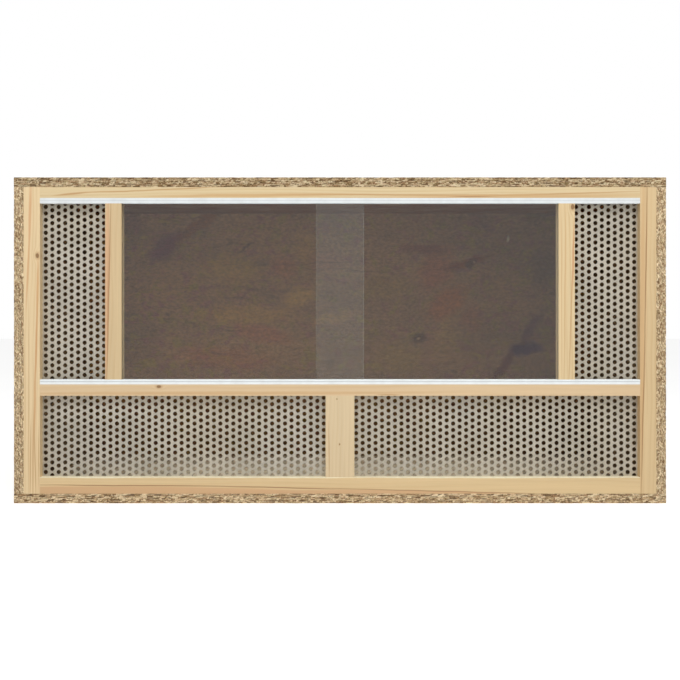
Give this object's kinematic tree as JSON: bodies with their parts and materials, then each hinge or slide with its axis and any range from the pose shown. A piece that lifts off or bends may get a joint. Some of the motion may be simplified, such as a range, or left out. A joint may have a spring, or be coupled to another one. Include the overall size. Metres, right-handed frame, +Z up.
{
  "type": "reptile terrarium",
  "caption": "Wide board cabinet for a reptile, with a framed front of perforated vents and overlapping glass panes that slide in double-channel runners.",
  "frame": {"origin": "centre of the base on the surface that the cabinet stands on", "axes": "+X to the right along the width, +Y from the glass front towards the back panel, +Z up"},
  "size_m": [1.2, 0.6, 0.6],
  "materials": {
    "osb": "raw oriented strand board",
    "film_board": "dark brown sealed film over veneer",
    "pine": "planed, unfinished",
    "vent_metal": "matt, mill finish",
    "runner_plastic": "satin white extrusion",
    "clear_glass": "polished float glass",
    "yellow_zinc_steel": "yellow zinc plated",
    "bright_steel": "bright zinc plated",
    "beech": "plain"
  },
  "bodies": {
    "cabinet": {"bottom_board": "osb", "top_board": "osb", "left_side_board": "osb", "right_side_board": "osb", "back_panel": "film_board", "left_outer_post": "pine", "right_outer_post": "pine", "top_rail": "pine", "middle_rail": "pine", "bottom_rail": "pine", "centre_post": "pine", "left_inner_post": "pine", "right_inner_post": "pine", "lower_vent_sheet": "vent_metal", "upper_left_vent_sheet": "vent_metal", "upper_right_vent_sheet": "vent_metal", "top_glass_runner": "runner_plastic", "bottom_glass_runner": "runner_plastic", "top_board_screws": "yellow_zinc_steel", "bottom_board_screws": "yellow_zinc_steel", "side_board_screws": "yellow_zinc_steel", "back_panel_screws": "yellow_zinc_steel", "vent_sheet_screws": "bright_steel", "frame_dowels": "beech"},
    "left_pane": {"left_glass_pane": "clear_glass"},
    "right_pane": {"right_glass_pane": "clear_glass"}
  },
  "joints": [
    {"name": "left_pane_slide", "type": "slide", "parent": "cabinet", "child": "left_pane", "axis": [1, 0, 0], "range_m": [0, 0.3577]},
    {"name": "right_pane_slide", "type": "slide", "parent": "cabinet", "child": "right_pane", "axis": [1, 0, 0], "range_m": [-0.3577, 0]}
  ]
}
